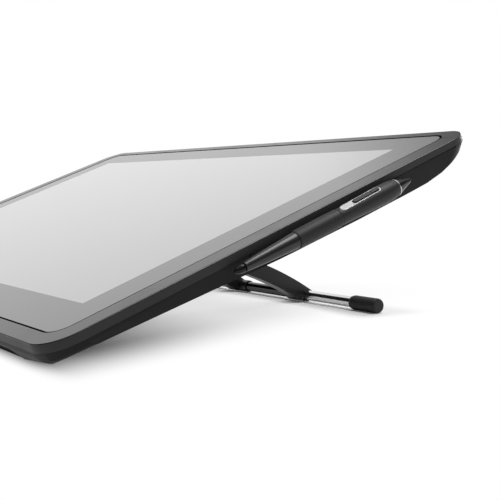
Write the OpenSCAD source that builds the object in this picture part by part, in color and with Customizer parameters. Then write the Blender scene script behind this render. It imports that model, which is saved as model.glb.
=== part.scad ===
// Pen display on a folding rear stand, with its pen docked along the right side.
// Millimetres. The desk is z = 0 and the origin is the middle of the front foot's sole.
// Body pieces are drawn lying flat (u right, v back, w up from the screen) and then tilted.

/* [Body] */
// Width of the body
body_w = 570; // [540:1:600]
// Depth of the body along the screen
body_d = 352; // [340:1:360]
// Corner radius of the body in plan
corner_r = 22; // [12:0.5:30]
// Tilt of the screen above the desk
tilt = 21.2; // [16:0.1:30]
// Height of the frame's band at the front
frame_front = 6; // [5.6:0.1:7]
// Height of the frame's band at the rear
frame_rear = 4.8; // [4.6:0.1:5.4]
// Open seam between frame and rear cover
seam = 0.35; // [0.1:0.05:0.6]

/* [Screen] */
// Width of the cover sheet
sheet_w = 537; // [500:1:550]
// Front edge of the cover sheet
sheet_front = 12.7; // [8:0.1:20]
// Rear edge of the cover sheet
sheet_rear = 342.6; // [330:0.1:343]
// Corner radius of the cover sheet
sheet_r = 13; // [3:0.5:16]
// Thickness of the cover sheet
sheet_t = 1.5; // [1:0.1:2]
// Step of the cover sheet below the frame
sheet_drop = 0.3; // [0.1:0.05:0.8]
// Gap around the cover sheet
sheet_gap = 0.6; // [0.2:0.05:0.8]
// Width of the image panel
lcd_w = 494; // [480:1:500]
// Depth of the image panel
lcd_d = 292; // [280:1:300]
// Middle of the image panel along v
lcd_v = 180.7; // [170:0.1:190]
// Thickness of the image panel
lcd_t = 3; // [1.5:0.1:4]
// Thickness of the backlight
backlight_t = 4.6; // [3:0.1:6]
// Thickness of the pen sensor board
sensor_t = 1; // [0.6:0.1:1.6]
// Thickness of the chassis plate
chassis_t = 1.2; // [0.8:0.1:2]

/* [Rear cover] */
// Wall of the rear cover
wall = 2.2; // [1.6:0.1:3]
// Depth of the cover along its middle
cover_h = 38; // [34:0.5:44]
// Depth of the cover along its sides
side_h = 20.2; // [19:0.1:23]
// Half width of the flat back
spine_u = 200; // [190:1:210]
// Half width of the prow under the front edge
prow_u = 240; // [236:1:245]
// Half width of the prow's foremost line
chin_u = 214; // [210:1:218]
// Inward slope of the side walls per millimetre
draft = 0.26; // [0.2:0.01:0.3]
// Growth of the corner radius down to the back
corner_grow = 24; // [0:1:30]
// Radius of a screw boss
boss_r = 4; // [3:0.1:6]
// Width of a vent slot
vent_w = 3; // [2:0.1:5]
// Length of a vent slot
vent_l = 34; // [20:1:50]
// Pitch of the vent slots
vent_pitch = 8; // [6:0.5:12]
// Vent slots in the row
vent_count = 12; // [4:1:16]

/* [Front foot] */
// Length of the foot along its sole
foot_l = 366; // [300:1:390]
// Height of the foot at its middle
foot_h = 5.6; // [4:0.1:8]
// Width of the sole
foot_sole = 8.4; // [6:0.1:12]

/* [Port bay] */
// Left end of the bay
bay_left = -190; // [-196:1:-150]
// Right end of the bay
bay_right = -100; // [-120:1:-98]
// Front edge of the bay
bay_front = 246; // [240:1:250]
// Rear edge of the bay
bay_rear = 292; // [286:1:296]
// Ceiling of the bay below the screen
bay_top = 19; // [17:0.5:21]
// Underside of the main board below the screen
board_low = 23.6; // [22:0.1:25]
// Thickness of the main board
board_t = 1.6; // [1:0.1:2]

/* [Stand] */
// Hinge axis along v
hinge_v = 205; // [195:1:215]
// Hinge axis below the screen
hinge_h = 47.5; // [47:0.1:52]
// Distance from hinge axis to floor bar
leg_l = 151.2; // [140:0.1:165]
// Radius of the arch under an arm
arch_r = 350; // [300:10:500]
// Distance from hinge axis to the knee of an arm
knee_y = 70; // [60:1:80]
// Height of the knee above the line from hinge to bar
knee_h = 15.6; // [14:0.1:16]
// Radius of an arm's back from the knee to the tip
back_r = 325; // [280:5:500]
// Width of an arm
arm_w = 13.5; // [8:0.1:14]
// Outer half width over the arms
arms_u = 61.5; // [50:0.5:61.5]
// Radius of the hinge barrel
barrel_r = 8; // [7:0.1:9]
// Radius of the hinge pin
pin_r = 4; // [3:0.1:5]
// Running clearance of the hinge pin
pin_play = 0.05; // [0.02:0.01:0.1]
// Radius of the floor bar
bar_r = 4.8; // [3.5:0.1:5.2]
// Radius of the rubber end caps
cap_r = 6.5; // [6.2:0.1:8]
// Outer half length over the caps
bar_u = 160; // [120:1:200]
// Length of an end cap
cap_l = 33; // [20:1:45]
// Radius of an arm's sleeve on the bar
sleeve_r = 6; // [5.6:0.1:6.3]
// Inner edge of an arm's sleeve
sleeve_u = 35; // [30:1:45]

/* [Pen] */
// Pen axis along u
pen_u = 291.2; // [291:0.1:294]
// Pen axis below the screen
pen_h = 9.3; // [9.2:0.1:10]
// Tail of the pen along v
pen_tail_v = 121.6; // [118:0.1:124]
// Largest radius of the pen
nose_r = 6.75; // [6.6:0.05:6.8]
// Radius of the nose at the step behind its switch
waist_r = 5.75; // [5.4:0.05:5.9]
// Radius of the rear grip
grip_r = 6; // [5.8:0.05:6.2]
// Radius of the barrel at its front
barrel_front_r = 5.5; // [5:0.05:5.7]
// Radius of the barrel at its tail
tail_r = 3; // [2.8:0.05:3.4]
// Bearing of the side switch around the pen
switch_turn = 66; // [50:1:75]
// Depth of the dock in the cover's side
dock_deep = 0.8; // [0.5:0.1:1]

/* [Power button] */
// Middle of the button along u
button_u = 225; // [180:1:240]
// Length of the button
button_l = 12; // [8:0.5:16]
// Height of the button
button_h = 2.2; // [1.8:0.1:2.4]

/* [Hidden] */
$fn = 64;
half_w = body_w / 2;
half_d = body_d / 2;
sheet_low = sheet_drop + sheet_t;
sheet_d = sheet_rear - sheet_front;
sheet_v = (sheet_front + sheet_rear) / 2;
lcd_top = sheet_low + 0.2;
backlight_top = lcd_top + lcd_t + 0.1;
sensor_top = backlight_top + backlight_t + 0.1;
chassis_top = sensor_top + sensor_t + 0.1;
chassis_low = chassis_top + chassis_t;
window_w = lcd_w + 4;
window_d = lcd_d + 4;
front_seam = frame_front + seam;
rear_seam = frame_rear + seam;
wall_top = rear_seam - 1;
seam_tilt = atan((frame_front - frame_rear) / body_d);
draft_base = cover_h + 7;
rear_edge = [[285, -side_h], [300, 0.2 - side_h], [315, 2 - side_h], [326, 5.1 - side_h], [338, 11 - side_h]];
pocket_u = chin_u + 1;
foot_pocket = [[2.2, -12], [15.9, -25], [15.9, -30], [-5, -30], [-5, -12]];
pocket_wall = [[3, -8], [5.6, -12], [18.4, -24], [16, -25], [8.5, -22.3], [2, -11]];
foot_v = 21.9;
foot_seat_h = 25 + (foot_v - 16) / 4;
foot_y = foot_v * cos(tilt) + foot_seat_h * sin(tilt);
lift = foot_h - foot_v * sin(tilt) + foot_seat_h * cos(tilt);
hinge_y = hinge_v * cos(tilt) + hinge_h * sin(tilt) - foot_y;
hinge_z = hinge_v * sin(tilt) - hinge_h * cos(tilt) + lift;
leg_drop = asin((hinge_z - cap_r) / leg_l);
arm_tip = [leg_l + 3.7, 5.7];
arch_y = 70;
arch_top = 1.7;
bush_r = 5.5;
bush_l = 16;
ear_u = arms_u + 0.5;
ear_t = 7;
ear_r = 9;
base_t = 3;
base_u = 22;
base_front = 178;
base_rear = 232;
bracket_screw_u = 76;
bracket_screw_v = [186, 224];
bracket_shaft_r = 2;
cover_screw_at = [[262, 40], [262, 300], [110, 335]];
cover_shaft_r = 1.5;
cover_seat = 13;
post_u = 253;
post_v = [60, 140, 220, 300];
post_r = 2.6;
chassis_shaft_r = 1;
board_left = bay_right + 2.5;
board_right = 20;
board_front = 240;
board_rear = 298;
standoff_at = [[-90, 244], [14, 244], [-90, 294], [14, 294]];
standoff_r = 2.5;
hdmi_v = 256;
usb_v = 270;
jack_v = 282;
vent_u = 92;
vent_v = 244;
dock_tail = [pen_tail_v + 6.4, -7.9];
dock_tail_r = 6.2;
dock_brow = [262, 2];
dock_tip = [282, -8];
dock_heel = [270, -16.3];
dock_foot = [269, -20];
liner_v = [140, 252];
liner_t = 0.4;
magnet_v = [150, 200, 246];
button_w = 2.6;
button_back = body_d - 3.5;
button_proud = 0.5;
core_r = 2.6;
ring_r = 5.85;
eraser_z = 7.8;
barrel_z = 48.6;
step_z = 85;
nose_z = 127;
ring_z = 137.8;
cone_z = 138.6;
nib_z = 153.5;
plate_z = [87.7, 123];
rocker_z = [98.7, 121.5];
plate_half = 2.7;
rocker_half = 1.5;
plate_top = 6.25;
plate_t = 1.2;
switch_lean = 1.8;
switch_mid = (rocker_z[0] + rocker_z[1]) / 2;

// Flat body coordinates to the tilted place on the desk
module on_desk() translate([0, -foot_y, lift]) rotate([tilt, 0, 0]) children();

// Stand coordinates: y runs from the hinge to the floor bar, z is up
module on_leg() translate([0, hinge_y, hinge_z]) rotate([-leg_drop, 0, 0]) children();

// Pen coordinates: z runs from tail to nib
module on_pen() on_desk() translate([pen_u, pen_tail_v, -pen_h]) rotate([-90, 0, 0]) children();

// Side switch coordinates: x stands out of the pen, z runs along it
module on_switch() on_pen() rotate([0, 0, -switch_turn]) translate([plate_top, 0, switch_mid])
    rotate([0, switch_lean, 0]) translate([-plate_top, 0, -switch_mid]) children();

// Extrudes a side profile drawn as (v, w) along u
module along_u(length) rotate([90, 0, 90]) linear_extrude(length, center = true) children();

module rounded(w, d, r) {
    square([w - 2 * r, d], center = true);
    square([w, d - 2 * r], center = true);
    for (x = [-1, 1], y = [-1, 1])
        translate([x * (w / 2 - r), y * (d / 2 - r)]) circle(r);
}

// Rounded plate hanging from depth "top" below the screen
module plate(w, d, r, v, top, t) translate([0, v, -top - t]) linear_extrude(t) rounded(w, d, r);

module post(u, v, r, top, low) translate([u, v, -low]) cylinder(r = r, h = low - top);

// Box given by its low and high corners
module span(low, high) translate(low) cube(high - low);

module both_sides() {
    children();
    mirror([1, 0, 0]) children();
}

// Slot outline with round ends along z, "deep" long from x = start
module pill(start, deep, half, z) {
    translate([start, -half, z[0] + half]) cube([deep, 2 * half, z[1] - z[0] - 2 * half]);
    for (e = [z[0] + half, z[1] - half])
        translate([start, 0, e]) rotate([0, 90, 0]) cylinder(r = half, h = deep);
}

// Depth of the cover's rim, which rises towards the rear
function rim(v) = -front_seam + (front_seam - rear_seam) * v / body_d;

// Side profiles of the cover's skin, pulled in by g, with the rim raised by "up"
function edge_line(g, up) = concat(
    [[g, rim(0) + up], [g, -8 + g / 2], [5 + g, -9.6 + g], [12, -10.4 + g]],
    [[177, -18.6 + g], [240, 0.2 - side_h + g]],
    [for (p = rear_edge) [p[0] - g, p[1] + g]],
    [[body_d - 3 * g, rim(body_d)], [body_d - 3 * g, rim(body_d) + up]]);

function spine_line(g, up) = concat(
    [[1.5 + g, rim(0) + up], [1.5 + 1.2 * g, -9 + g / 3], [16 + 0.6 * g, -25 + g]],
    [[60, -36 + g], [110, -cover_h + g]],
    [for (a = [0:6:90]) [275 + (body_d - 277 - g) * sin(a), -8 - (cover_h - 8 - g) * cos(a)]],
    [[body_d - 2 - g, rim(body_d) + up]]);

function prow_line(g, up) = [[1.5 + g, rim(0) + up], [1.5 + 1.2 * g, -9 + g / 3], [14 + 0.8 * g, -24.5 + g],
    [16 + 0.6 * g, -25 + g], [18 + 0.6 * g, rim(18) + up]];

function chin_line(g) = [[1.5 + 1.2 * g, -9 + g / 3], [8.5 + g, -22.3 + g], [16 + 0.6 * g, -25 + g]];

// Boat shape of the rear cover, pulled in by g, its rim raised by "up"
module cover_form(g, up) intersection() {
    hull() {
        along_u(body_w - 2 * g) polygon(edge_line(g, up));
        along_u(2 * spine_u - g) polygon(spine_line(g, up));
        along_u(2 * prow_u - g) polygon(prow_line(g, up));
        along_u(2 * chin_u - g) polygon(chin_line(g));
    }
    hull() {
        plate(body_w - 2 * g, body_d - 2 * g, corner_r - g, half_d, wall_top - up, 0.02);
        plate(body_w - 2 * g - 2 * draft * draft_base, body_d - 2 * g - draft * draft_base,
            corner_r + corner_grow - g, half_d, draft_base, 0.02);
    }
}

// Coordinates of the cover's right side: x stands out of it, y runs back, z up from its top
module on_wall() translate([half_w, 0, -wall_top]) rotate([0, atan(draft), 0]) children();

// Extrudes an outline drawn on the side by t, starting from x = start
module out_of_wall(start, t) on_wall() translate([start, 0, 0]) rotate([90, 0, 90])
    linear_extrude(t) children();

// Outline of the pen's dock, pointed behind the nib and open at the seam and below
module dock_outline() {
    translate(dock_tail) circle(dock_tail_r);
    polygon([[dock_tail[0], dock_tail[1] + dock_tail_r], dock_brow, dock_tip, dock_heel, dock_foot,
        [dock_tail[0], dock_tail[1] - dock_tail_r]]);
}

module front_frame() color([0.32, 0.33, 0.34]) on_desk() {
    difference() {
        plate(body_w, body_d, corner_r, half_d, 0, frame_front);
        translate([0, 0, -frame_front]) rotate([seam_tilt, 0, 0])
            span([-half_w, -5, -5], [half_w, body_d + 5, 0]);
        plate(sheet_w + 2 * sheet_gap, sheet_d + 2 * sheet_gap, sheet_r + sheet_gap, sheet_v,
            -1, sheet_low + 1);
        plate(window_w, window_d, 3, lcd_v, 0, frame_front + 1);
        both_sides() for (s = cover_screw_at)
            post(s[0], s[1], cover_shaft_r + 0.05, sheet_low + 0.9, frame_front + 1);
        button_slot(0.3, button_back - 0.6);
    }
    both_sides() for (v = post_v) difference() {
        post(post_u, v, post_r, frame_rear - 0.4, chassis_top);
        post(post_u, v, chassis_shaft_r + 0.05, frame_front + 0.6, chassis_top + 1);
    }
}

module cover_sheet() color([0.72, 0.73, 0.74]) on_desk()
    plate(sheet_w, sheet_d, sheet_r, sheet_v, sheet_drop, sheet_t);

module lcd_panel() color([0.2, 0.21, 0.23]) on_desk()
    plate(lcd_w, lcd_d, 2, lcd_v, lcd_top, lcd_t);

module backlight_unit() color([0.9, 0.9, 0.88]) on_desk() {
    plate(lcd_w, lcd_d, 2, lcd_v, backlight_top, backlight_t);
}

module sensor_board() color([0.1, 0.32, 0.2]) on_desk()
    plate(lcd_w - 10, lcd_d - 10, 2, lcd_v, sensor_top, sensor_t);

module chassis_plate() color([0.7, 0.71, 0.72]) on_desk() {
    difference() {
        plate(2 * post_u + 7, lcd_d + 4, 3, lcd_v, chassis_top, chassis_t);
        both_sides() {
            for (v = post_v) post(post_u, v, chassis_shaft_r + 0.1, chassis_top - 1, chassis_low + 1);
            for (v = bracket_screw_v)
                post(bracket_screw_u, v, bracket_shaft_r + 0.05, chassis_top - 1, chassis_low + 1);
            span([120, 90, -chassis_low - 1], [210, 230, -chassis_top + 1]);
        }
    }
    for (p = standoff_at) post(p[0], p[1], standoff_r, chassis_low - 0.1, board_low - board_t);
}

module chassis_screws() color([0.55, 0.55, 0.56]) on_desk() both_sides() for (v = post_v) {
    post(post_u, v, chassis_shaft_r, frame_front + 1, chassis_low);
    post(post_u, v, 2, chassis_low, chassis_low + 1.2);
}

module main_board() color([0.08, 0.25, 0.14]) on_desk() {
    span([board_left, board_front, -board_low], [board_right, board_rear, -board_low + board_t]);
}

module board_shield() color([0.75, 0.75, 0.74]) on_desk() difference() {
    span([-70, 246, -board_low - 7.4], [12, 292, -board_low]);
    span([-69.4, 246.6, -board_low - 6.8], [11.4, 291.4, -board_low + 1]);
}

module hdmi_socket() color([0.8, 0.8, 0.8]) on_desk() {
    difference() {
        span([bay_right, hdmi_v - 7.5, -board_low - 5.6], [bay_right + 12, hdmi_v + 7.5, -board_low]);
        span([bay_right - 1, hdmi_v - 7, -board_low - 5.1], [bay_right + 10, hdmi_v + 7, -board_low - 0.5]);
    }
    span([bay_right + 1.5, hdmi_v - 5.5, -board_low - 3], [bay_right + 10.2, hdmi_v + 5.5, -board_low - 1.8]);
}

module usb_socket() color([0.8, 0.8, 0.8]) on_desk() {
    difference() {
        span([bay_right, usb_v - 4.6, -board_low - 3.4], [bay_right + 9, usb_v + 4.6, -board_low]);
        span([bay_right - 1, usb_v - 4.2, -board_low - 3], [bay_right + 7.5, usb_v + 4.2, -board_low - 0.4]);
    }
    span([bay_right + 1, usb_v - 3.3, -board_low - 2.05], [bay_right + 7.7, usb_v + 3.3, -board_low - 1.35]);
}

module dc_socket() color([0.05, 0.05, 0.05]) on_desk() {
    difference() {
        span([bay_right, jack_v - 4.6, -board_low - 10], [bay_right + 13, jack_v + 4.6, -board_low]);
        translate([bay_right - 1, jack_v, -board_low - 5]) rotate([0, 90, 0]) cylinder(r = 2.9, h = 11);
    }
    translate([bay_right + 1, jack_v, -board_low - 5]) rotate([0, 90, 0]) cylinder(r = 0.9, h = 9.5);
}

module rear_cover() color([0.12, 0.12, 0.125]) on_desk() difference() {
    union() {
        difference() {
            cover_form(0, 0);
            cover_form(wall, 8);
        }
        intersection() {
            cover_form(wall / 2, 0);
            cover_inside();
        }
    }
    span([bay_left, bay_front, -cover_h - 5], [bay_right, bay_rear, -bay_top]);
    socket_holes();
    both_sides() {
        for (s = cover_screw_at) {
            post(s[0], s[1], cover_shaft_r + 0.2, frame_rear, cover_seat + 1);
            post(s[0], s[1], 3.1, cover_seat, cover_h + 5);
        }
        for (v = bracket_screw_v)
            post(bracket_screw_u, v, bracket_shaft_r + 0.2, chassis_low - 1, cover_h + 5);
    }
    for (i = [0:vent_count - 1]) translate([vent_u + i * vent_pitch, vent_v, 0])
        span([0, 0, -cover_h - 5], [vent_w, vent_l, -cover_h + 8]);
    along_u(2 * pocket_u) polygon(foot_pocket);
    out_of_wall(-dock_deep, 6) dock_outline();
    for (v = magnet_v) span([275, v - 6, -pen_h - 3], [280, v + 6, -pen_h + 3]);
}

// Walls, bosses and ribs inside the cover
module cover_inside() {
    span([bay_left - 2, bay_front - 2, -cover_h - 5], [bay_right + 2, bay_rear + 2, -bay_top + 2]);
    both_sides() {
        for (s = cover_screw_at) post(s[0], s[1], boss_r, frame_rear, cover_h);
        for (v = bracket_screw_v) post(bracket_screw_u, v, 5, chassis_low + 0.2, cover_h);
        span([150, 60, -cover_h], [151.6, 232, -26]);
    }
    for (v = magnet_v) span([277, v - 8, -pen_h - 5], [half_w, v + 8, -frame_rear]);
    along_u(2 * pocket_u + 4) polygon(pocket_wall);
}

module socket_holes() {
    span([bay_right - 1, hdmi_v - 7.7, -board_low - 5.8], [bay_right + 5, hdmi_v + 7.7, -board_low + 0.2]);
    span([bay_right - 1, usb_v - 4.8, -board_low - 3.6], [bay_right + 5, usb_v + 4.8, -board_low + 0.2]);
    span([bay_right - 1, jack_v - 4.8, -board_low - 10.2], [bay_right + 5, jack_v + 4.8, -board_low + 0.2]);
    span([bay_right + 1.9, board_front - 1, -board_low - 0.2],
        [bay_right + 5, board_rear + 1, -board_low + board_t + 0.2]);
}

module cover_screws() color([0.1, 0.1, 0.1]) on_desk() both_sides() for (s = cover_screw_at) difference() {
    union() {
        post(s[0], s[1], cover_shaft_r, sheet_low + 1.1, cover_seat);
        post(s[0], s[1], 2.8, cover_seat, cover_seat + 2.2);
    }
    translate([s[0], s[1], -cover_seat - 2.2]) {
        cube([3, 0.7, 2.4], center = true);
        cube([0.7, 3, 2.4], center = true);
    }
}

// Desk coordinates (y, z) of a point on the cover's front slope
function seat_point(v) = let (h = 25 + (v - 16) / 4)
    [v * cos(tilt) + h * sin(tilt) - foot_y, v * sin(tilt) - h * cos(tilt) + lift];

module front_foot() color([0.04, 0.04, 0.04]) intersection() {
    along_u(foot_l + 10)
        polygon([[-foot_sole / 2, 0], [foot_sole / 2, 0], seat_point(27.4), seat_point(16.6)]);
    rotate([90, 0, 0]) linear_extrude(40, center = true)
        polygon([[-foot_l / 2, 0], [foot_l / 2, 0], [foot_l / 2 + 4, 9], [-foot_l / 2 - 4, 9]]);
}

module dock_liner() color([0.06, 0.06, 0.06]) on_desk() out_of_wall(-dock_deep, liner_t)
    translate([(liner_v[0] + liner_v[1]) / 2, -5.3]) rounded(liner_v[1] - liner_v[0], 6, 2.99);

module dock_magnets() color([0.6, 0.6, 0.62]) on_desk()
    for (v = magnet_v) span([277.2, v - 5.9, -pen_h - 2.9], [279.9, v + 5.9, -pen_h + 2.9]);

// Pill-shaped space for the power button in the frame's rear wall
module button_slot(play, start) translate([button_u, start, -button_w]) rotate([-90, 0, 0])
    linear_extrude(10) rounded(button_l + 2 * play, button_h + 2 * play, button_h / 2 + play - 0.01);

module power_button() color([0.2, 0.2, 0.21]) on_desk() translate([button_u, button_back, -button_w])
    rotate([-90, 0, 0]) linear_extrude(body_d + button_proud - button_back)
        rounded(button_l, button_h, button_h / 2 - 0.01);

module hinge_brackets() color([0.16, 0.16, 0.165]) on_desk() both_sides() difference() {
    union() {
        span([ear_u, base_front, -cover_h - base_t], [ear_u + base_u, base_rear, -cover_h]);
        translate([ear_u, hinge_v, -hinge_h]) rotate([0, 90, 0]) cylinder(r = ear_r, h = ear_t);
        span([ear_u, hinge_v - ear_r, -hinge_h], [ear_u + ear_t, hinge_v + ear_r, -cover_h - 1]);
    }
    translate([ear_u - 1, hinge_v, -hinge_h]) rotate([0, 90, 0]) cylinder(r = pin_r, h = ear_t + 2);
    for (v = bracket_screw_v)
        post(bracket_screw_u, v, bracket_shaft_r + 0.2, cover_h - 1, cover_h + base_t + 1);
}

module bracket_screws() color([0.12, 0.12, 0.12]) on_desk() both_sides()
    for (v = bracket_screw_v) difference() {
        union() {
            post(bracket_screw_u, v, bracket_shaft_r, chassis_top + 0.2, cover_h + base_t);
            post(bracket_screw_u, v, 3.6, cover_h + base_t, cover_h + base_t + 2.4);
        }
        translate([bracket_screw_u, v, -cover_h - base_t - 2.4])
            cylinder(r = 1.4, h = 2.8, center = true, $fn = 6);
    }

module hinge_pin() color([0.66, 0.67, 0.68]) on_desk() translate([0, hinge_v, -hinge_h]) rotate([0, 90, 0])
    cylinder(r = pin_r, h = 2 * (ear_u + ear_t), center = true);

module stand_arms() color([0.15, 0.15, 0.155]) on_leg() difference() {
    union() {
        rotate([0, 90, 0]) cylinder(r = barrel_r, h = 2 * arms_u, center = true);
        both_sides() {
            translate([arms_u - arm_w / 2, 0, 0]) along_u(arm_w) arm_outline();
            translate([sleeve_u, leg_l, 0]) rotate([0, 90, 0]) cylinder(r = sleeve_r, h = arms_u - sleeve_u);
        }
        intersection() {
            along_u(2 * arms_u - 2) arm_outline();
            translate([0, 0, -40]) linear_extrude(80) arch_web();
        }
    }
    rotate([0, 90, 0]) cylinder(r = bush_r, h = 2 * arms_u + 2, center = true);
    translate([0, leg_l, 0]) rotate([0, 90, 0]) cylinder(r = bar_r, h = 2 * arms_u + 2, center = true);
    both_sides() translate([sleeve_u + 6, leg_l, -sleeve_r - 1]) cylinder(r = 1.3, h = 5);
}

// Side outline of an arm: straight from the hinge to the knee, then a long round back down to the tip
module arm_outline() difference() {
    polygon(concat([[0, -barrel_r], [0, barrel_r]], back_points(),
        [[leg_l + 1.3, -3], [leg_l - 5, -6.6]]));
    translate([arch_y, arch_top - arch_r]) circle(arch_r, $fn = 240);
}

// Points on the round back of an arm, from the knee to the tip
function back_points() = let (
    knee = [knee_y, knee_h],
    half = norm(arm_tip - knee) / 2,
    lean = atan2(knee_h - arm_tip[1], arm_tip[0] - knee_y),
    turn = asin(half / back_r),
    middle = (knee + arm_tip) / 2 - back_r * cos(turn) * [sin(lean), cos(lean)])
    [for (i = [0:10]) let (a = lean + (i / 5 - 1) * turn) middle + back_r * [sin(a), cos(a)]];

// Web between the arms, hollowed by an arch
module arch_web() difference() {
    translate([-arms_u, 0]) square([2 * arms_u, 58]);
    translate([0, 76]) circle(54);
}

module hinge_bushes() color([0.85, 0.84, 0.8]) on_leg() both_sides() translate([arms_u - bush_l, 0, 0])
    rotate([0, 90, 0]) difference() {
        cylinder(r = bush_r, h = bush_l);
        translate([0, 0, -1]) cylinder(r = pin_r + pin_play, h = bush_l + 2);
    }

module stand_bar() color([0.78, 0.79, 0.8]) on_leg() translate([0, leg_l, 0]) rotate([0, 90, 0])
    cylinder(r = bar_r, h = 2 * (bar_u - 8), center = true);

// Cap profile from its open inner end to its closed outer end
module bar_cap() translate([0, leg_l, 0]) rotate([0, 90, 0]) rotate_extrude()
    polygon([[0, bar_u], [cap_r - 1.6, bar_u], [cap_r - 0.5, bar_u - 0.5], [cap_r, bar_u - 1.6],
        [cap_r, bar_u - cap_l + 3], [cap_r - 0.7, bar_u - cap_l], [bar_r, bar_u - cap_l],
        [bar_r, bar_u - 8], [0, bar_u - 8]]);

module bar_cap_right() color([0.04, 0.04, 0.04]) on_leg() bar_cap();

module bar_cap_left() color([0.04, 0.04, 0.04]) on_leg() mirror([1, 0, 0]) bar_cap();

module bar_screws() color([0.3, 0.3, 0.3]) on_leg() both_sides()
    translate([sleeve_u + 6, leg_l, -bar_r - 1]) cylinder(r = 1.25, h = 1);

module pen_barrel() color([0.3, 0.31, 0.32]) on_pen() rotate_extrude()
    polygon(concat([[2.5, eraser_z], [tail_r - 0.15, eraser_z]],
        [for (i = [0:8]) let (t = i / 8)
            [tail_r + (barrel_front_r - tail_r) * pow(t, 0.8),
                eraser_z + 0.3 + t * (barrel_z - eraser_z - 0.7)]],
        [[barrel_front_r - 0.2, barrel_z], [core_r, barrel_z]]));

module pen_grip() color([0.09, 0.09, 0.095]) on_pen() rotate_extrude()
    polygon([[core_r, barrel_z], [grip_r - 0.5, barrel_z], [grip_r - 0.15, barrel_z + 0.3],
        [grip_r, barrel_z + 0.9], [grip_r + 0.12, barrel_z + 15], [grip_r + 0.15, step_z - 11],
        [grip_r + 0.05, step_z - 0.7], [grip_r - 0.3, step_z], [core_r, step_z]]);

module pen_nose() color([0.08, 0.08, 0.085]) difference() {
    on_pen() rotate_extrude()
        polygon(concat([[core_r, step_z], [waist_r - 0.3, step_z]],
            [for (i = [0:10]) let (t = i / 10)
                [waist_r + (nose_r - waist_r) * (1 - cos(180 * t)) / 2,
                    step_z + 0.6 + t * (nose_z - step_z)]],
            [for (a = [15:15:45])
                [nose_r - 3.2 * (1 - cos(a)), nose_z + 0.6 + (ring_z - nose_z - 0.6) * sin(a) / sin(45)]],
            [[core_r, ring_z]]));
    on_switch() {
        pill(plate_top - plate_t, 9, plate_half + 0.02, [plate_z[0] - 0.02, plate_z[1] + 0.02]);
        pill(plate_top - plate_t - 1.5, 9, rocker_half + 0.4, [rocker_z[0] - 0.4, rocker_z[1] + 0.4]);
    }
}

module switch_plate() color([0.62, 0.63, 0.64]) on_switch() difference() {
    pill(plate_top - plate_t, plate_t, plate_half, plate_z);
    pill(plate_top - plate_t - 1, plate_t + 2, rocker_half + 0.4, [rocker_z[0] - 0.4, rocker_z[1] + 0.4]);
}

module switch_rocker() color([0.07, 0.07, 0.07]) on_switch() difference() {
    pill(plate_top - 1.5, 2.3, rocker_half, rocker_z);
    translate([plate_top + 0.5, -3, switch_mid + 3.5]) cube([2, 6, 1]);
}

module pen_ring() color([0.75, 0.76, 0.77]) on_pen() rotate_extrude()
    polygon([[core_r, ring_z], [ring_r - 0.1, ring_z], [ring_r, ring_z + 0.2], [ring_r - 0.1, cone_z - 0.1],
        [ring_r - 0.25, cone_z], [core_r, cone_z]]);

module pen_cone() color([0.03, 0.03, 0.03]) on_pen() rotate_extrude()
    polygon([[1.2, cone_z], [ring_r - 0.35, cone_z], [4.15, cone_z + 4.8], [2.85, cone_z + 9],
        [1.75, nib_z - 1.9], [1.2, nib_z - 1.5]]);

module pen_core() color([0.2, 0.2, 0.2]) on_pen() rotate_extrude()
    polygon([[0, 11], [2.4, 11], [2.4, 118], [1.5, 118], [1.5, 138], [1.2, 138], [1.2, 124], [0, 124]]);

module pen_coil() color([0.72, 0.45, 0.25]) on_pen() rotate_extrude()
    polygon([[1.6, 120], [2.4, 120], [2.4, 137], [1.6, 137]]);

module pen_nib() color([0.1, 0.1, 0.1]) on_pen() rotate_extrude()
    polygon([[0, 126], [0.9, 126], [0.9, nib_z - 1], [0.75, nib_z - 0.4], [0.4, nib_z], [0, nib_z]]);

// Bullet-shaped tail with its stem in the barrel
module pen_eraser() color([0.05, 0.05, 0.05]) on_pen() rotate_extrude()
    polygon(concat([[0, 0]],
        [for (a = [15:15:90]) [(tail_r - 0.1) * sin(a), (eraser_z - 1.1) * (1 - cos(a))]],
        [[2.1, eraser_z - 1.1], [2.1, 9.2], [0, 9.2]]));

front_frame();
cover_sheet();
lcd_panel();
backlight_unit();
sensor_board();
chassis_plate();
chassis_screws();
main_board();
board_shield();
hdmi_socket();
usb_socket();
dc_socket();
rear_cover();
cover_screws();
front_foot();
dock_liner();
dock_magnets();
power_button();
hinge_brackets();
bracket_screws();
hinge_pin();
stand_arms();
hinge_bushes();
stand_bar();
bar_cap_left();
bar_cap_right();
bar_screws();
pen_barrel();
pen_grip();
pen_nose();
pen_ring();
pen_cone();
pen_core();
pen_coil();
switch_plate();
switch_rocker();
pen_nib();
pen_eraser();
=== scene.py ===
import math
import bpy
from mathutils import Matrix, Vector


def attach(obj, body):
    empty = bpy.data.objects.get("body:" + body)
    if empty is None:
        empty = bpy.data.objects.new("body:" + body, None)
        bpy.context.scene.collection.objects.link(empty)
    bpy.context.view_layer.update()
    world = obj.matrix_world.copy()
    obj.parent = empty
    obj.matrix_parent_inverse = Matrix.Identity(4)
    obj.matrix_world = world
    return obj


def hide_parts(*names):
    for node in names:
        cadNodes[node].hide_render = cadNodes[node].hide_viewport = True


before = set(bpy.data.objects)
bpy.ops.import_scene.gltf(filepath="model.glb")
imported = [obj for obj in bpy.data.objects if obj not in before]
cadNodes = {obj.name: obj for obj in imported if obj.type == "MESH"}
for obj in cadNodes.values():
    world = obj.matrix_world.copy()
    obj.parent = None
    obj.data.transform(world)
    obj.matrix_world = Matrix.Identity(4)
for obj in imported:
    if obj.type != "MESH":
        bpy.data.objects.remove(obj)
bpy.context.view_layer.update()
scene = bpy.context.scene
perMetre = 1000  # the pieces' own measures are in millimetres

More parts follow.
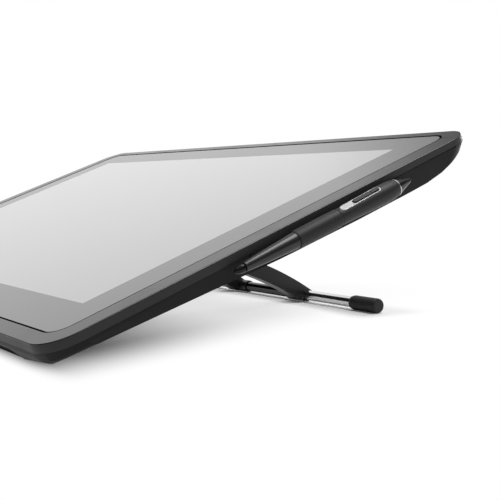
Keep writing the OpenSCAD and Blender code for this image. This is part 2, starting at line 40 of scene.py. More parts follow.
# the body is drawn flat in (u, v, w) millimetres, then tilted up and set down on its front foot
bodyPlace = {"tilt": 21.2, "footBack": 29.992, "lift": 22.364}
tiltAngle = math.radians(bodyPlace["tilt"])


def onDesk(u, v, w):
    y = v * math.cos(tiltAngle) - w * math.sin(tiltAngle) - bodyPlace["footBack"]
    z = v * math.sin(tiltAngle) + w * math.cos(tiltAngle) + bodyPlace["lift"]
    return Vector((u, y, z)) / perMetre


def onBody(point):
    y = point[1] * perMetre + bodyPlace["footBack"]
    z = point[2] * perMetre - bodyPlace["lift"]
    v = y * math.cos(tiltAngle) + z * math.sin(tiltAngle)
    w = z * math.cos(tiltAngle) - y * math.sin(tiltAngle)
    return point[0] * perMetre, v, w


def deselectAll():
    if bpy.context.object and bpy.context.object.mode != "OBJECT":
        bpy.ops.object.mode_set(mode="OBJECT")
    bpy.ops.object.select_all(action="DESELECT")


def makeActive(piece):
    deselectAll()
    piece.select_set(True)
    bpy.context.view_layer.objects.active = piece


def deselectMesh(piece):
    makeActive(piece)
    bpy.ops.object.mode_set(mode="EDIT")
    bpy.ops.mesh.select_all(action="DESELECT")
    bpy.ops.object.mode_set(mode="OBJECT")


def applyModifiers(piece):
    makeActive(piece)
    for name in [modifier.name for modifier in piece.modifiers]:
        bpy.ops.object.modifier_apply(modifier=name)


def roundEdges(piece, width, segments, angle):
    bevel = piece.modifiers.new("roundEdges", "BEVEL")
    bevel.width = width / perMetre
    bevel.segments = segments
    bevel.limit_method = "ANGLE"
    bevel.angle_limit = math.radians(angle)
    bevel.use_clamp_overlap = True
    applyModifiers(piece)


# rounds the edges that lie in a chosen place and turn outward by an angle within the chosen limits
def roundCrease(piece, crease):
    makeActive(piece)
    mesh = piece.data
    places = [crease["where"](*onBody(vert.co)) for vert in mesh.vertices]
    leastTurn, mostTurn = crease["turn"]
    sides = {}
    for face in mesh.polygons:
        face.select = False
        for key in face.edge_keys:
            sides.setdefault(key, []).append(face)
    for edge in mesh.edges:
        faces = sides.get(edge.key, [])
        edge.select = False
        if len(faces) == 2 and places[edge.vertices[0]] and places[edge.vertices[1]]:
            first, second = faces
            outward = first.normal.dot(second.center - first.center) < 0
            turn = math.degrees(first.normal.angle(second.normal, 0))
            edge.select = outward and leastTurn < turn < mostTurn
    bpy.ops.object.mode_set(mode="EDIT")
    bpy.ops.mesh.select_mode(type="EDGE")
    bpy.ops.mesh.bevel(offset=crease["width"] / perMetre, segments=crease["segments"], affect="EDGES",
                       clamp_overlap=crease["clamp"])
    bpy.ops.object.mode_set(mode="OBJECT")


# gathers the points near a corner, on the right and then on the left, into one and rounds it
def roundCorner(piece, corner):
    makeActive(piece)
    for sign in (1, -1):
        deselectMesh(piece)
        for vert in piece.data.vertices:
            u, v, w = onBody(vert.co)
            vert.select = math.dist((u * sign, v, w), corner["at"]) < corner["near"]
        bpy.ops.object.mode_set(mode="EDIT")
        bpy.ops.mesh.select_mode(type="VERT")
        bpy.ops.mesh.merge(type="CENTER")
        bpy.ops.mesh.bevel(offset=corner["width"] / perMetre, segments=corner["segments"], affect="VERTICES",
                           clamp_overlap=False)
        bpy.ops.object.mode_set(mode="OBJECT")


# what a softened copy gets unless its own values differ: merging in metres, angles in degrees
softening = {"merge": 0.000002, "flatten": 0.2, "segments": 3, "angle": 32, "smooth": 32, "flatWeight": 80}


# copy of a CAD node: merged, edges rounded, shaded smooth
def softenNode(node, name, body, width, creases=(), corner=None, **own):
    look = {**softening, **own}
    piece = bpy.data.objects.new(name, cadNodes[node].data.copy())
    scene.collection.objects.link(piece)
    makeActive(piece)
    bpy.ops.mesh.customdata_custom_splitnormals_clear()
    bpy.ops.object.mode_set(mode="EDIT")
    bpy.ops.mesh.select_all(action="SELECT")
    bpy.ops.mesh.remove_doubles(threshold=look["merge"])
    bpy.ops.mesh.dissolve_limited(angle_limit=math.radians(look["flatten"]))
    bpy.ops.mesh.select_all(action="DESELECT")
    bpy.ops.object.mode_set(mode="OBJECT")
    if corner:
        roundCorner(piece, corner)
    for crease in creases:
        roundCrease(piece, crease)
    if width:
        roundEdges(piece, width, look["segments"], look["angle"])
    makeActive(piece)
    bpy.ops.object.shade_smooth_by_angle(angle=math.radians(look["smooth"]))
    if look["flatWeight"]:
        flat = piece.modifiers.new("flatFaces", "WEIGHTED_NORMAL")
        flat.keep_sharp = True
        flat.weight = look["flatWeight"]
        applyModifiers(piece)
    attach(piece, body)
    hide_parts(node)
    return piece


def dress(piece, *finishList):
    piece.data.materials.clear()
    for finish in finishList:
        piece.data.materials.append(finish)


# adds a node; an input that is another node's output is linked, any other is written on the socket
def addNode(tree, kind, inputs=None, **settings):
    node = tree.nodes.new(kind)
    for key, value in settings.items():
        setattr(node, key, value)
    for key, value in (inputs or {}).items():
        if isinstance(value, bpy.types.NodeSocket):
            tree.links.new(value, node.inputs[key])
        else:
            node.inputs[key].default_value = value
    return node


def mathOf(tree, operation, *values):
    return addNode(tree, "ShaderNodeMath", dict(enumerate(values)), operation=operation).outputs[0]


def mapSpan(tree, value, source=(0.0, 1.0), target=(0.0, 1.0), kind="LINEAR"):
    inputs = {"Value": value, "From Min": source[0], "From Max": source[1],
              "To Min": target[0], "To Max": target[1]}
    ramp = addNode(tree, "ShaderNodeMapRange", inputs, interpolation_type=kind)
    return ramp.outputs["Result"]


def smoothSpan(tree, value, source, target=(0.0, 1.0)):
    return mapSpan(tree, value, source, target, "SMOOTHSTEP")


def toneMix(tree, factor, first, second):
    tones = [tone if isinstance(tone, bpy.types.NodeSocket) else (*tone, 1) for tone in (first, second)]
    mix = addNode(tree, "ShaderNodeMix", {"Factor": factor, "A": tones[0], "B": tones[1]}, data_type="RGBA")
    return mix.outputs["Result"]


# shared surface effects: groups that take a place and a scale or stretch
def newGroup(name, inputs, outputs):
    group = bpy.data.node_groups.new(name, "ShaderNodeTree")
    for label, kind in inputs.items():
        group.interface.new_socket(name=label, in_out="INPUT", socket_type=kind)
    for label in outputs:
        group.interface.new_socket(name=label, in_out="OUTPUT", socket_type="NodeSocketFloat")
    return group, group.nodes.new("NodeGroupInput").outputs, group.nodes.new("NodeGroupOutput").inputs


# fine spark-eroded grain of moulded plastic: bump height and a faint tone
grainLook = {"detail": 4, "toneScale": 14, "toneDetail": 5}


def makeMouldGrain(look):
    sockets = {"Vector": "NodeSocketVector", "Scale": "NodeSocketFloat"}
    group, given, result = newGroup("mouldGrain", sockets, ("Height", "Tone"))
    place = {"Vector": given["Vector"]}
    scaled = {**place, "Scale": given["Scale"]}
    fine = addNode(group, "ShaderNodeTexNoise", {**scaled, "Detail": look["detail"]})
    cells = addNode(group, "ShaderNodeTexVoronoi", scaled, feature="SMOOTH_F1")
    slow = addNode(group, "ShaderNodeTexNoise",
                   {**place, "Scale": look["toneScale"], "Detail": look["toneDetail"]})
    height = mathOf(group, "MULTIPLY", fine.outputs["Fac"], cells.outputs["Distance"])
    group.links.new(height, result["Height"])
    group.links.new(slow.outputs["Fac"], result["Tone"])
    return group


# soft blotches left by hands and wiping
marksLook = {"detail": 3, "distortion": 0.8, "fineScale": 420, "showing": (0.42, 0.72)}


def makeHandMarks(look):
    sockets = {"Vector": "NodeSocketVector", "Scale": "NodeSocketFloat"}
    group, given, result = newGroup("handMarks", sockets, ("Marks",))
    place = {"Vector": given["Vector"]}
    broad = addNode(group, "ShaderNodeTexNoise", {**place, "Scale": given["Scale"], "Detail": look["detail"],
                                                  "Distortion": look["distortion"]})
    fine = addNode(group, "ShaderNodeTexNoise", {**place, "Scale": look["fineScale"]})
    patches = mapSpan(group, broad.outputs["Fac"], look["showing"])
    group.links.new(mathOf(group, "MULTIPLY", patches, fine.outputs["Fac"]), result["Marks"])
    return group


# fine parallel lines of turned, drawn or brushed metal
linesLook = {"scale": 1, "detail": 3}


def makeDrawnLines(look):
    sockets = {"Vector": "NodeSocketVector", "Stretch": "NodeSocketVector"}
    group, given, result = newGroup("drawnLines", sockets, ("Lines",))
    drawn = addNode(group, "ShaderNodeVectorMath", {0: given["Vector"], 1: given["Stretch"]},
                    operation="MULTIPLY")
    noise = addNode(group, "ShaderNodeTexNoise", {"Vector": drawn.outputs["Vector"], "Scale": look["scale"],
                                                  "Detail": look["detail"]})
    group.links.new(noise.outputs["Fac"], result["Lines"])
    return group


mouldGrain = makeMouldGrain(grainLook)
handMarks = makeHandMarks(marksLook)
drawnLines = makeDrawnLines(linesLook)


def newMaterial(name):
    material = bpy.data.materials.new(name)
    material.use_nodes = True
    tree = material.node_tree
    place = addNode(tree, "ShaderNodeTexCoord").outputs["Object"]
    return material, tree, tree.nodes["Principled BSDF"], place


def placeGroup(tree, group, place, **values):
    return addNode(tree, "ShaderNodeGroup", {"Vector": place, **values}, node_tree=group).outputs


def bumpFrom(tree, shader, height, look):
    bump = addNode(tree, "ShaderNodeBump", {"Height": height, "Strength": look["bump"],
                                            "Distance": look["depth"] / perMetre})
    tree.links.new(bump.outputs["Normal"], shader.inputs["Normal"])


# roughness of a surface, greater where hands have marked it
def markedRough(tree, shader, place, look):
    marks = placeGroup(tree, handMarks, place, Scale=look["marks"])["Marks"]
    rough = mapSpan(tree, marks, target=(look["rough"], look["rough"] + look["rougher"]))
    tree.links.new(rough, shader.inputs["Roughness"])


# colour that swings about its own tone by a share
def variedTone(tree, shader, pattern, look):
    dark, light = [tuple(min(1.0, part * share) for part in look["color"])
                   for share in (1 - look["vary"], 1 + look["vary"])]
    tree.links.new(toneMix(tree, pattern, dark, light), shader.inputs["Base Color"])


def grey(tone):
    return tone, tone, tone


# moulded plastic or rubber, where its own values say nothing else; depth in millimetres
mouldedBase = {"grain": 1800, "bump": 0.25, "depth": 0.05, "vary": 0.12, "gloss": 0.5,
               "marks": 28, "rougher": 0.14}


def mouldedFinish(own):
    look = {**mouldedBase, **own}
    material, tree, shader, place = newMaterial(look["name"])
    grain = placeGroup(tree, mouldGrain, place, Scale=look["grain"])
    variedTone(tree, shader, grain["Tone"], look)
    markedRough(tree, shader, place, look)
    bumpFrom(tree, shader, grain["Height"], look)
    shader.inputs["Specular IOR Level"].default_value = look["gloss"]
    return material


# bare, plated or lacquered metal with drawn lines, likewise
metalBase = {"stretch": (30.0, 700.0, 700.0), "bump": 0.06, "depth": 0.01, "vary": 0.08, "metal": 1.0,
             "marks": 45, "rougher": 0.08}


def metalFinish(own):
    look = {**metalBase, **own}
    material, tree, shader, place = newMaterial(look["name"])
    lines = placeGroup(tree, drawnLines, place, Stretch=look["stretch"])["Lines"]
    variedTone(tree, shader, lines, look)
    markedRough(tree, shader, place, look)
    bumpFrom(tree, shader, lines, look)
    shader.inputs["Metallic"].default_value = look["metal"]
    return material


# floor bar: polished ends; between the arms it is painted dark, a painted shade where it lies under the tablet
barLook = {"name": "barChrome", "color": (0.72, 0.725, 0.73), "rough": 0.1, "stretch": (8.0, 300.0, 300.0),
           "bump": 0.02, "vary": 0.03, "dark": (0.07, 0.07, 0.072), "reach": 52.0, "soft": 0.5}


def barPaintedShadeFinish(look):
    material = metalFinish(look)
    tree = material.node_tree
    base = tree.nodes["Principled BSDF"].inputs["Base Color"]
    bright = base.links[0].from_socket
    coords = addNode(tree, "ShaderNodeTexCoord")
    parts = addNode(tree, "ShaderNodeSeparateXYZ", {0: coords.outputs["Object"]})
    offset = mathOf(tree, "ABSOLUTE", parts.outputs["X"])
    ends = [(look["reach"] + side * look["soft"]) / perMetre for side in (-1, 1)]
    # painted shade: dark between the arms, polished beyond them
    tree.links.new(toneMix(tree, smoothSpan(tree, offset, ends), look["dark"], bright), base)
    return material


print("shared finishes ready")

# cover sheet: etched glass with a light field inside a darker border; the field's fall from pale at the left
# to greyer at the right is a painted reflection
sheetLook = {"fieldLow": (-238.0, 46.7), "fieldHigh": (238.0, 314.7), "soft": 0.6,
             "paintedReflectionDim": (0.64, 0.641, 0.643), "paintedReflectionBright": grey(0.88), "border": (0.22, 0.221, 0.223),
             "rough": 0.14, "rougher": 0.02, "marks": 12, "gloss": 0.5,
             "grain": 3200, "bump": 0.01, "depth": 0.001, "round": 0.25}
# painted shade: a black line round its edge that stands for the shaded gap to the frame, a little wider at the
# sides than at front and back
paintedGapShadeLook = {"middle": (0.0, 177.65), "half": (268.5, 164.95), "corner": 13.0, "wide": (1.4, 1.2), "soft": 0.1,
           "least": 0.0000001, "tone": grey(0.008), "gloss": 0.0}


# the painted shade line's mask, from the distance to the sheet's rounded outline
def paintedGapShadeMask(tree, parts, look):
    spans = []
    for axis, middle, half in zip("XY", look["middle"], look["half"]):
        offset = mathOf(tree, "ABSOLUTE", mathOf(tree, "SUBTRACT", parts[axis], middle / perMetre))
        beyond = mathOf(tree, "SUBTRACT", offset, (half - look["corner"]) / perMetre)
        spans.append(mathOf(tree, "MAXIMUM", beyond, 0))
    squares = [mathOf(tree, "MULTIPLY", span, span) for span in spans]
    total = mathOf(tree, "ADD", *squares)
    lean = mathOf(tree, "DIVIDE", squares[1], mathOf(tree, "MAXIMUM", total, look["least"]))
    wide = mapSpan(tree, lean, target=[side / perMetre for side in look["wide"]])
    inner = mathOf(tree, "SUBTRACT", look["corner"] / perMetre, wide)
    past = mathOf(tree, "SUBTRACT", mathOf(tree, "SQRT", total), inner)
    return smoothSpan(tree, past, (-look["soft"] / perMetre, look["soft"] / perMetre))


# the light field's mask, one edge after another
def fieldMask(tree, parts, look):
    inside = 1.0
    for axis, low, high in zip("XY", look["fieldLow"], look["fieldHigh"]):
        for edge, blur in ((low, look["soft"] / 2), (high, -look["soft"] / 2)):
            within = mapSpan(tree, parts[axis], ((edge - blur) / perMetre, (edge + blur) / perMetre))
            inside = mathOf(tree, "MULTIPLY", inside, within)
    return inside


def sheetFinish(look, line):
    material, tree, shader, place = newMaterial("etchedSheet")
    flat = addNode(tree, "ShaderNodeMapping", {"Vector": place, "Location": onDesk(0, 0, 0),
                                               "Rotation": (tiltAngle, 0, 0)}, vector_type="TEXTURE")
    parts = addNode(tree, "ShaderNodeSeparateXYZ", {0: flat.outputs["Vector"]}).outputs
    # painted reflection: the field's tone runs from pale at the left to greyer at the right
    paintedReflectionFade = mapSpan(tree, parts["X"], (look["fieldHigh"][0] / perMetre, look["fieldLow"][0] / perMetre))
    field = toneMix(tree, paintedReflectionFade, look["paintedReflectionDim"], look["paintedReflectionBright"])
    color = toneMix(tree, fieldMask(tree, parts, look), look["border"], field)
    # painted shade along the sheet's edge, matt black where the gap to the frame lies in shade
    paintedGapShade = paintedGapShadeMask(tree, parts, line)
    tree.links.new(toneMix(tree, paintedGapShade, color, line["tone"]), shader.inputs["Base Color"])
    gloss = mapSpan(tree, paintedGapShade, target=(look["gloss"], line["gloss"]))
    tree.links.new(gloss, shader.inputs["Specular IOR Level"])
    markedRough(tree, shader, place, look)
    etch = placeGroup(tree, mouldGrain, place, Scale=look["grain"])
    bumpFrom(tree, shader, etch["Height"], look)
    return material


sheetGlass = softenNode("cover_sheet", "sheetGlass", "display", sheetLook["round"])
dress(sheetGlass, sheetFinish(sheetLook, paintedGapShadeLook))
print("cover sheet ready")

# finishes of every other node
blackCoat = {"color": (0.012, 0.012, 0.0123), "rough": 0.34, "grain": 1300, "bump": 0.12, "depth": 0.02,
             "gloss": 0.45}
capRubber = {"color": grey(0.011), "rough": 0.62, "grain": 1100, "bump": 0.35, "depth": 0.06}
penRubber = {"color": (0.026, 0.026, 0.0265), "grain": 3000, "bump": 0.15, "depth": 0.02}
mouldedLooks = {
    "front_frame": {"name": "frameSatin", "color": (0.014, 0.0142, 0.0145), "rough": 0.2, "grain": 2400,
                    "bump": 0.04, "depth": 0.005},
    "rear_cover": {"name": "coverGrain", "color": (0.007, 0.007, 0.0072), "rough": 0.46, "grain": 1500,
                   "gloss": 0.15},
    "front_foot": {"name": "footRubber", "color": grey(0.01), "rough": 0.72, "grain": 1100, "bump": 0.4,
                   "depth": 0.08},
    "bar_cap_left": {"name": "capRubberLeft", **capRubber},
    "bar_cap_right": {"name": "capRubberRight", **capRubber},
    "stand_arms": {"name": "armCoat", **blackCoat},
    "hinge_brackets": {"name": "bracketCoat", **blackCoat},
    "hinge_bushes": {"name": "bushNylon", "color": (0.68, 0.67, 0.62), "rough": 0.45},
    "dock_liner": {"name": "dockFelt", "color": grey(0.009), "rough": 0.8, "grain": 2600, "bump": 0.5,
                   "depth": 0.08},
    "power_button": {"name": "buttonSatin", "color": (0.04, 0.04, 0.041), "rough": 0.35},
    "pen_grip": {"name": "gripRubber", **penRubber, "rough": 0.46, "gloss": 0.26},
    "pen_nose": {"name": "noseRubber", **penRubber, "rough": 0.42, "gloss": 0.28},
    "pen_cone": {"name": "coneGloss", "color": grey(0.006), "rough": 0.24, "grain": 3000, "bump": 0.03,
                 "depth": 0.005},
    "pen_eraser": {"name": "eraserGloss", "color": grey(0.005), "rough": 0.1, "grain": 3000, "bump": 0.02,
                   "depth": 0.005, "gloss": 0.22},
    "pen_nib": {"name": "nibPlastic", "color": grey(0.02), "rough": 0.45},
    "pen_core": {"name": "coreResin", "color": grey(0.08), "rough": 0.5},
    "switch_rocker": {"name": "rockerSatin", "color": (0.02, 0.02, 0.0205), "rough": 0.36, "grain": 3000,
                      "bump": 0.02, "depth": 0.005, "gloss": 0.35},
    "dc_socket": {"name": "jackBody", "color": grey(0.012), "rough": 0.4},
    "backlight_unit": {"name": "lightGuide", "color": (0.8, 0.8, 0.78), "rough": 0.4},
    "lcd_panel": {"name": "panelDark", "color": (0.03, 0.03, 0.035), "rough": 0.15, "grain": 3000,
                  "bump": 0.03, "depth": 0.01},
    "sensor_board": {"name": "sensorMask", "color": (0.012, 0.09, 0.045), "rough": 0.35},
    "main_board": {"name": "boardMask", "color": (0.012, 0.08, 0.04), "rough": 0.35},
}
metalLooks = {
    "cover_screws": {"name": "screwBlack", "color": grey(0.03), "rough": 0.4},
    "bracket_screws": {"name": "boltBlack", "color": grey(0.03), "rough": 0.4},
    "chassis_screws": {"name": "screwZinc", "color": (0.55, 0.55, 0.54), "rough": 0.3},
    "bar_screws": {"name": "grubSteel", "color": grey(0.2), "rough": 0.35},
    "hinge_pin": {"name": "pinGround", "color": grey(0.55), "rough": 0.2},
    "chassis_plate": {"name": "chassisRolled", "color": (0.6, 0.61, 0.62), "rough": 0.4},
    "board_shield": {"name": "shieldTin", "color": (0.62, 0.62, 0.6), "rough": 0.3},
    "hdmi_socket": {"name": "videoShell", "color": grey(0.6), "rough": 0.25},
    "usb_socket": {"name": "dataShell", "color": grey(0.6), "rough": 0.25},
    "dock_magnets": {"name": "magnetNickel", "color": (0.55, 0.55, 0.54), "rough": 0.2},
    "pen_barrel": {"name": "barrelLacquer", "color": (0.03, 0.03, 0.031), "rough": 0.16,
                   "stretch": (900.0, 30.0, 30.0), "bump": 0.01, "vary": 0.05, "metal": 0.3},
    "pen_ring": {"name": "ringTurned", "color": grey(0.7), "rough": 0.2},
    "pen_coil": {"name": "coilCopper", "color": (0.55, 0.26, 0.1), "rough": 0.3},
    "switch_plate": {"name": "plateSatin", "color": (0.4, 0.4, 0.404), "rough": 0.32, "bump": 0.005,
                     "vary": 0.04},
}
finishes = {node: mouldedFinish(look) for node, look in mouldedLooks.items()}
finishes.update({node: metalFinish(look) for node, look in metalLooks.items()})
finishes["stand_bar"] = barPaintedShadeFinish(barLook)
for node, finish in finishes.items():
    dress(cadNodes[node], finish)
print("finishes on", len(finishes), "nodes")

# outline of the frame and the cover, and how near a point has to be to count as on it
bodyForm = {"half": 285.0, "depth": 352.0, "corner": 22.0, "frontSeam": 6.0, "rearSeam": 4.8, "gap": 0.35,
            "level": 0.05, "near": 0.2, "rimNear": 1.2}


def onOutline(u, v, near):
    overU = max(abs(u) - bodyForm["half"] + bodyForm["corner"], 0)
    overV = max(abs(v - bodyForm["depth"] / 2) - bodyForm["depth"] / 2 + bodyForm["corner"], 0)
    return abs(math.hypot(overU, overV) - bodyForm["corner"]) < near


def seamHeight(v):
    return -bodyForm["frontSeam"] + (bodyForm["frontSeam"] - bodyForm["rearSeam"]) * v / bodyForm["depth"]


def onFrameTop(u, v, w):
    return abs(w) < bodyForm["level"] and onOutline(u, v, bodyForm["near"])


def onFrameSeam(u, v, w):
    return abs(w - seamHeight(v)) < bodyForm["level"] and onOutline(u, v, bodyForm["near"])


def onCoverRim(u, v, w):
    rimHeight = seamHeight(v) - bodyForm["gap"]
    return abs(w - rimHeight) < bodyForm["level"] and onOutline(u, v, bodyForm["rimNear"])


# the ridges under the cover's front corners
prowPlace = {"beyond": 262, "before": 30, "below": -10.5}


def onProw(u, v, w):
    return abs(u) > prowPlace["beyond"] and v < prowPlace["before"] and w < prowPlace["below"]


frameCreases = [
    {"where": onFrameTop, "width": 0.9, "segments": 5, "turn": (60, 120), "clamp": True},
    {"where": onFrameSeam, "width": 0.2, "segments": 2, "turn": (60, 120), "clamp": True},
]
coverCreases = [
    {"where": onCoverRim, "width": 0.6, "segments": 1, "turn": (60, 120), "clamp": True},
    {"where": onProw, "width": 2.0, "segments": 4, "turn": (33, 62), "clamp": False},
]
prowCorner = {"at": (240.0, 15.0, -24.75), "near": 2.2, "width": 13.0, "segments": 5}
# the frame's side is duller than its satin top, and its colour is painted lighter than the top's to stand for
# the light it catches
frameSidePaintedLight = {"name": "frameSidePaintedLight", "color": (0.036, 0.0362, 0.0366), "rough": 0.4, "bump": 0.15, "depth": 0.03,
             "gloss": 0.2, "upright": 0.3}
frameShell = softenNode("front_frame", "frameShell", "display", width=0.2, creases=frameCreases)
dress(frameShell, finishes["front_frame"], mouldedFinish(frameSidePaintedLight))
upward = onDesk(0, 0, perMetre) - onDesk(0, 0, 0)
# painted light: the frame's side faces get the lighter side colour
for face in frameShell.data.polygons:
    u, v, w = onBody(face.center)
    if onOutline(u, v, bodyForm["rimNear"]) and face.normal.dot(upward) < frameSidePaintedLight["upright"]:
        face.material_index = 1
coverShell = softenNode("rear_cover", "coverShell", "display", width=0.0, creases=coverCreases,
                        corner=prowCorner)
dress(coverShell, finishes["rear_cover"])

# softened copies of other pieces that show, with their edge radius; the eraser's dome is only shaded smooth
softEdges = [
    {"node": "front_foot", "name": "footStrip", "body": "display", "width": 0.5},
    {"node": "stand_arms", "name": "armYoke", "body": "stand", "width": 0.7},
    {"node": "hinge_brackets", "name": "bracketPair", "body": "display", "width": 0.5},
    {"node": "pen_nose", "name": "noseSleeve", "body": "pen", "width": 0.15},
    {"node": "switch_plate", "name": "switchSurround", "body": "pen", "width": 0.2},
    {"node": "switch_rocker", "name": "switchKey", "body": "rocker", "width": 0.3},
    {"node": "power_button", "name": "powerKey", "body": "power", "width": 0.3},
    {"node": "pen_eraser", "name": "tailTip", "body": "eraser", "width": 0.0, "smooth": 60, "flatten": 0.01,
     "flatWeight": 0},
]
for row in softEdges:
    dress(softenNode(**row), finishes[row["node"]])
print("frame, cover and", len(softEdges), "smaller pieces softened")

# black ring where the pen's barrel meets its grip: one section spun about the pen's axis
ringLook = {"axis": (291.2, -9.3), "along": 170.15, "radius": 5.5, "section": (0.5, 0.7), "steps": 72,
            "merge": 0.000005, "round": 0.12, "segments": 3, "angle": 40}
ringFinish = {"name": "jointRubber", "color": grey(0.005), "rough": 0.4, "grain": 3000, "bump": 0.05,
              "depth": 0.01, "gloss": 0.2}


def spinRing(ring):
    u, w = ring["axis"]
    middle = onDesk(u, ring["along"], w)
    axis = onDesk(u, ring["along"] + 1, w) - middle
    deselectAll()
    bpy.ops.mesh.primitive_plane_add(size=1 / perMetre, location=onDesk(u + ring["radius"], ring["along"], w),
                                     rotation=(tiltAngle, 0, 0))
    piece = bpy.context.object
    piece.name = "jointRing"
    piece.scale = (*ring["section"], 1)
    bpy.ops.object.transform_apply(location=True, rotation=True, scale=True)
    bpy.ops.object.mode_set(mode="EDIT")
    bpy.ops.mesh.select_all(action="SELECT")
    bpy.ops.mesh.delete(type="ONLY_FACE")
    bpy.ops.mesh.select_all(action="SELECT")
    bpy.ops.mesh.spin(steps=ring["steps"], angle=math.tau, center=middle, axis=axis)
    bpy.ops.mesh.select_all(action="SELECT")
    bpy.ops.mesh.remove_doubles(threshold=ring["merge"])
    bpy.ops.mesh.normals_make_consistent(inside=False)
    bpy.ops.object.mode_set(mode="OBJECT")
    roundEdges(piece, ring["round"], ring["segments"], ring["angle"])
    bpy.ops.object.shade_smooth_by_angle(angle=math.radians(ring["angle"]))
    dress(piece, mouldedFinish(ringFinish))
    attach(piece, "pen")


spinRing(ringLook)
print("pen joint ring ready")

# pale floor, in metres: a white glow paints light over its real shading, washing it to white except where the
# object's shadow is kept
floorLook = {"color": grey(0.93), "rough": 0.9, "size": 60, "mirrorShare": 0.5, "washBack": 0.68,
             "sideEnd": (0.17, 0.26), "sideSlant": 0.4, "slantFrom": 0.05,
             "frontEnd": (-0.02, 0.003), "backEnd": (0.03, 0.22), "farEnd": (0.38, 0.55)}
# shadow kept under the floor bar
barShade = {"back": 0.33, "across": (0.012, 0.05), "ends": (0.158, 0.185), "share": 0.95}
white = (*grey(1), 1)


# one for a ray from the eye, and a chosen share for one that comes by a mirror or through glass
def seenRay(tree, share=1.0):
    path = addNode(tree, "ShaderNodeLightPath")
    total = path.outputs["Is Camera Ray"]
    for other in ("Is Glossy Ray", "Is Transmission Ray"):
        total = mathOf(tree, "MAXIMUM", total, mathOf(tree, "MULTIPLY", path.outputs[other], share))
    return total


# share of the real shadow that the floor shows
def shadowKept(tree, place, look, bar):
    parts = addNode(tree, "ShaderNodeSeparateXYZ", {0: place})
    back = parts.outputs["Y"]
    offset = mathOf(tree, "ABSOLUTE", parts.outputs["X"])
    slant = mathOf(tree, "MULTIPLY", mathOf(tree, "SUBTRACT", back, look["slantFrom"]), look["sideSlant"])
    kept = smoothSpan(tree, mathOf(tree, "ADD", offset, slant), look["sideEnd"], (1.0, 0.0))
    for other in (smoothSpan(tree, back, look["backEnd"], (1.0, 1.0 - look["washBack"])),
                  smoothSpan(tree, back, look["frontEnd"]),
                  smoothSpan(tree, back, look["farEnd"], (1.0, 0.0))):
        kept = mathOf(tree, "MULTIPLY", kept, other)
    fromBar = mathOf(tree, "ABSOLUTE", mathOf(tree, "SUBTRACT", back, bar["back"]))
    nearBar = mathOf(tree, "MULTIPLY", smoothSpan(tree, fromBar, bar["across"], (bar["share"], 0.0)),
                     smoothSpan(tree, offset, bar["ends"], (1.0, 0.0)))
    return mathOf(tree, "MAXIMUM", kept, nearBar)


def floorFinish(look, bar):
    material, tree, shader, place = newMaterial("palePaper")
    shader.inputs["Base Color"].default_value = (*look["color"], 1)
    shader.inputs["Roughness"].default_value = look["rough"]
    shader.inputs["Specular IOR Level"].default_value = 0.0
    glow = addNode(tree, "ShaderNodeEmission", {"Color": white})
    wash = mathOf(tree, "SUBTRACT", 1, shadowKept(tree, place, look, bar))
    share = mathOf(tree, "MULTIPLY", wash, seenRay(tree, look["mirrorShare"]))
    mix = addNode(tree, "ShaderNodeMixShader", {"Fac": share, 1: shader.outputs["BSDF"],
                                                2: glow.outputs["Emission"]})
    tree.links.new(mix.outputs["Shader"], tree.nodes["Material Output"].inputs["Surface"])
    return material


deselectAll()
bpy.ops.mesh.primitive_plane_add(size=floorLook["size"], location=(0, 0, 0))
floor = bpy.context.object
floor.name = "paleFloor"
floor.data.materials.append(floorFinish(floorLook, barShade))

# what mirrors see: white up to the horizon, a sweep behind the object, a card and a pale ceiling
studioLook = {"fill": 0.3, "dim": 0.08, "bright": 1.0, "band": (0.03, 0.1), "sweepTo": (-0.47, 0.88),
              "sweepSide": (0.08, 0.42), "sweepTop": (0.2, 0.3), "ceilingFrom": (0.55, 0.8), "ceiling": 0.9}
# tall white card at the left, seen in the glass and on the frame's top; its bearing and width are in degrees
cardLook = {"bearing": 168.0, "half": 25.0, "soft": 8.0, "foot": (0.14, 0.22), "top": (0.62, 0.77),
            "level": 1.05}


def reflectorCard(tree, parts, look):
    bearing = mathOf(tree, "ARCTAN2", parts["Y"], parts["X"])
    turn = mathOf(tree, "SUBTRACT", bearing, math.radians(look["bearing"]))
    turn = mathOf(tree, "ABSOLUTE", mathOf(tree, "WRAP", turn, math.pi, -math.pi))
    ends = [math.radians(look["half"] + side * look["soft"]) for side in (-1, 1)]
    across = smoothSpan(tree, turn, ends, (look["level"], 0.0))
    above = smoothSpan(tree, parts["Z"], look["foot"])
    below = smoothSpan(tree, parts["Z"], look["top"], (1.0, 0.0))
    return mathOf(tree, "MULTIPLY", across, mathOf(tree, "MULTIPLY", above, below))


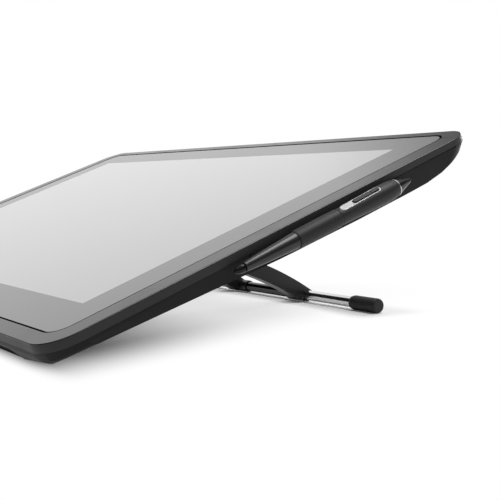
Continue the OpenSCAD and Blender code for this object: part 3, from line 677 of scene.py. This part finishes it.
# the eye sees plain white, mirrors and glass see the studio, and other rays get an even fill
def studioWorld(look, card):
    world = bpy.data.worlds.new("softStudio")
    world.use_nodes = True
    tree = world.node_tree
    coords = addNode(tree, "ShaderNodeTexCoord")
    parts = addNode(tree, "ShaderNodeSeparateXYZ", {0: coords.outputs["Generated"]}).outputs
    toward = mathOf(tree, "ADD", mathOf(tree, "MULTIPLY", parts["X"], look["sweepTo"][0]),
                    mathOf(tree, "MULTIPLY", parts["Y"], look["sweepTo"][1]))
    sweep = mathOf(tree, "MULTIPLY", smoothSpan(tree, toward, look["sweepSide"]),
                   smoothSpan(tree, parts["Z"], look["sweepTop"], (1.0, 0.0)))
    ceiling = smoothSpan(tree, parts["Z"], look["ceilingFrom"], (0.0, look["ceiling"]))
    lit = smoothSpan(tree, parts["Z"], look["band"], (1.0, 0.0))
    for other in (sweep, reflectorCard(tree, parts, card), ceiling):
        lit = mathOf(tree, "MAXIMUM", lit, other)
    shown = mapSpan(tree, lit, target=(look["dim"], look["bright"]))
    level = addNode(tree, "ShaderNodeMix", {"Factor": seenRay(tree), "A": look["fill"], "B": shown},
                    data_type="FLOAT")
    path = addNode(tree, "ShaderNodeLightPath")
    strength = mathOf(tree, "MAXIMUM", level.outputs["Result"], path.outputs["Is Camera Ray"])
    backdrop = tree.nodes["Background"]
    backdrop.inputs["Color"].default_value = white
    tree.links.new(strength, backdrop.inputs["Strength"])
    return world


scene.world = studioWorld(studioLook, cardLook)


# holds a lamp or a camera at a place, looking along a direction
def aimed(data, at, direction):
    holder = bpy.data.objects.new(data.name, data)
    scene.collection.objects.link(holder)
    holder.location = at
    holder.rotation_euler = Vector(direction).to_track_quat("-Z", "Y").to_euler()
    return holder


softBoxes = [
    {"name": "overheadBox", "at": (0.5, 0.42, 1.35), "to": (0.15, 0.2, 0.05), "size": 0.9, "power": 11},
    {"name": "rearBox", "at": (-0.4, 1.7, 0.55), "to": (0.0, 0.25, 0.0), "size": 0.9, "power": 14},
]
for box in softBoxes:
    lamp = bpy.data.lights.new(box["name"], "AREA")
    lamp.shape = "DISK"
    lamp.size = box["size"]
    lamp.energy = box["power"]
    aimed(lamp, box["at"], Vector(box["to"]) - Vector(box["at"]))

# the photograph's eye: place and near limit in metres, focal length and frame in pixels, sensor in millimetres
eyeLook = {"at": (0.7458, -0.21574, 0.1077), "look": (-0.8212, 0.56667, -0.06716), "focal": 926.7,
           "frame": 500, "sensor": 36, "near": 0.01}
camera = bpy.data.cameras.new("photoEye")
camera.sensor_width = eyeLook["sensor"]
camera.lens = eyeLook["sensor"] * eyeLook["focal"] / eyeLook["frame"]
camera.clip_start = eyeLook["near"]
camera.dof.use_dof = False
scene.camera = aimed(camera, eyeLook["at"], eyeLook["look"])
scene.view_settings.view_transform = "Standard"
print("stage ready")
